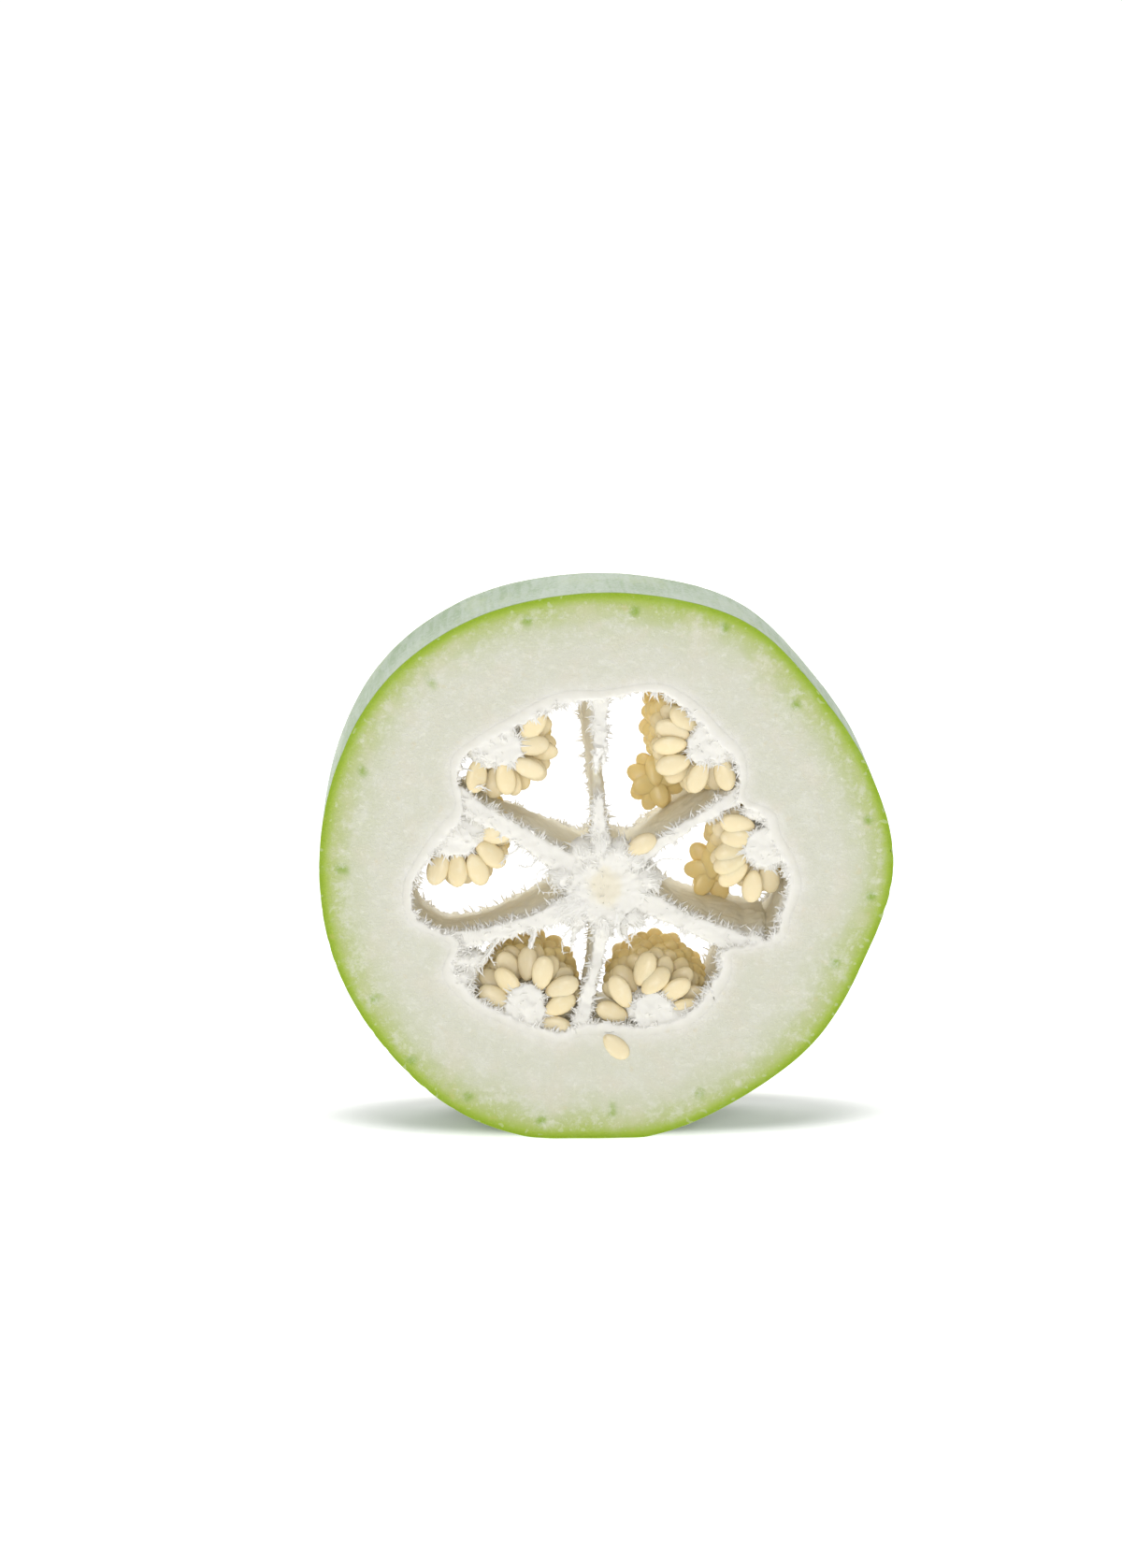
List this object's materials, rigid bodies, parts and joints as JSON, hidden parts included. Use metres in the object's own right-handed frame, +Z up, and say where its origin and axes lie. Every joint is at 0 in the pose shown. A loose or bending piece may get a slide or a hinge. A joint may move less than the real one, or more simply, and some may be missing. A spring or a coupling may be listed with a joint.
{
  "type": "winter melon slice",
  "caption": "Round slice of winter melon standing on its rind, open seed chamber with torn septa, a soft core and clusters of pale oval seeds.",
  "frame": {"origin": "on the surface the slice stands on, under the middle of the slice", "axes": "+Z up; the slice's axis runs along Y, and its front cut faces -Y"},
  "size_m": [0.1802, 0.045, 0.1744],
  "materials": {
    "flesh": "moist cut flesh, greenish white, with a lime green edge and a waxy blue-green rind",
    "seeds_top_left": "smooth cream seeds, slightly glossy",
    "seeds_top_right": "smooth cream seeds, slightly glossy",
    "seeds_right": "smooth cream seeds, slightly glossy",
    "seeds_bottom_right": "smooth cream seeds, slightly glossy",
    "seeds_bottom_left": "smooth cream seeds, slightly glossy",
    "seeds_left": "smooth cream seeds, slightly glossy",
    "seed_on_face": "smooth cream seed, slightly glossy",
    "seed_by_core": "smooth cream seed, slightly glossy"
  },
  "bodies": {
    "root": {"flesh": "flesh", "seeds_top_left": "seeds_top_left", "seeds_top_right": "seeds_top_right", "seeds_right": "seeds_right", "seeds_bottom_right": "seeds_bottom_right", "seeds_bottom_left": "seeds_bottom_left", "seeds_left": "seeds_left", "seed_on_face": "seed_on_face", "seed_by_core": "seed_by_core"}
  },
  "joints": []
}
